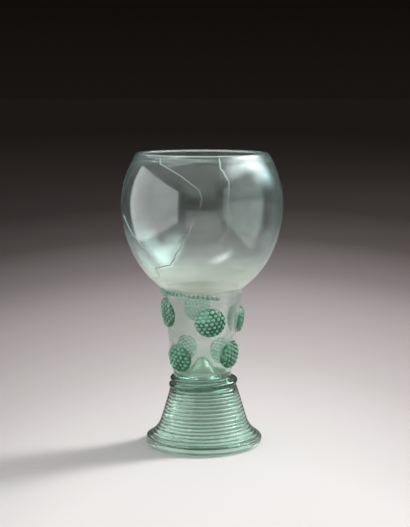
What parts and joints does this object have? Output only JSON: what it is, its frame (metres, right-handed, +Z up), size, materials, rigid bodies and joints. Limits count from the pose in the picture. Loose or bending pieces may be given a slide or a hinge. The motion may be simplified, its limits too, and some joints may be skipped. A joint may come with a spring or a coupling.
{
  "type": "roemer wine glass",
  "caption": "Hollow-stemmed wine glass of pale green glass with a round bowl, raspberry prunts on the stem, a milled collar and a foot wound from a glass trail.",
  "frame": {"origin": "centre of the foot, on the surface that the glass stands on", "axes": "+Z up along the axis of the glass, -Y towards the pictured front, +X to the right of that front"},
  "size_m": [0.0992, 0.0992, 0.18],
  "materials": {
    "bowl_glass": "thin blown pale green glass, fire polished",
    "applied_glass": "thick hot-applied green glass, stamped and milled",
    "foot_glass": "wound green glass trail, melted together"
  },
  "bodies": {
    "root": {"bowl": "bowl_glass", "stem": "bowl_glass", "milled_collar": "applied_glass", "upper_prunt_front": "applied_glass", "upper_prunt_left": "applied_glass", "upper_prunt_right": "applied_glass", "upper_prunt_back": "applied_glass", "lower_prunt_left": "applied_glass", "lower_prunt_right": "applied_glass", "lower_prunt_back_right": "applied_glass", "lower_prunt_back_left": "applied_glass", "foot_ring": "foot_glass", "foot_trail": "foot_glass", "base_rim": "foot_glass"}
  },
  "joints": []
}
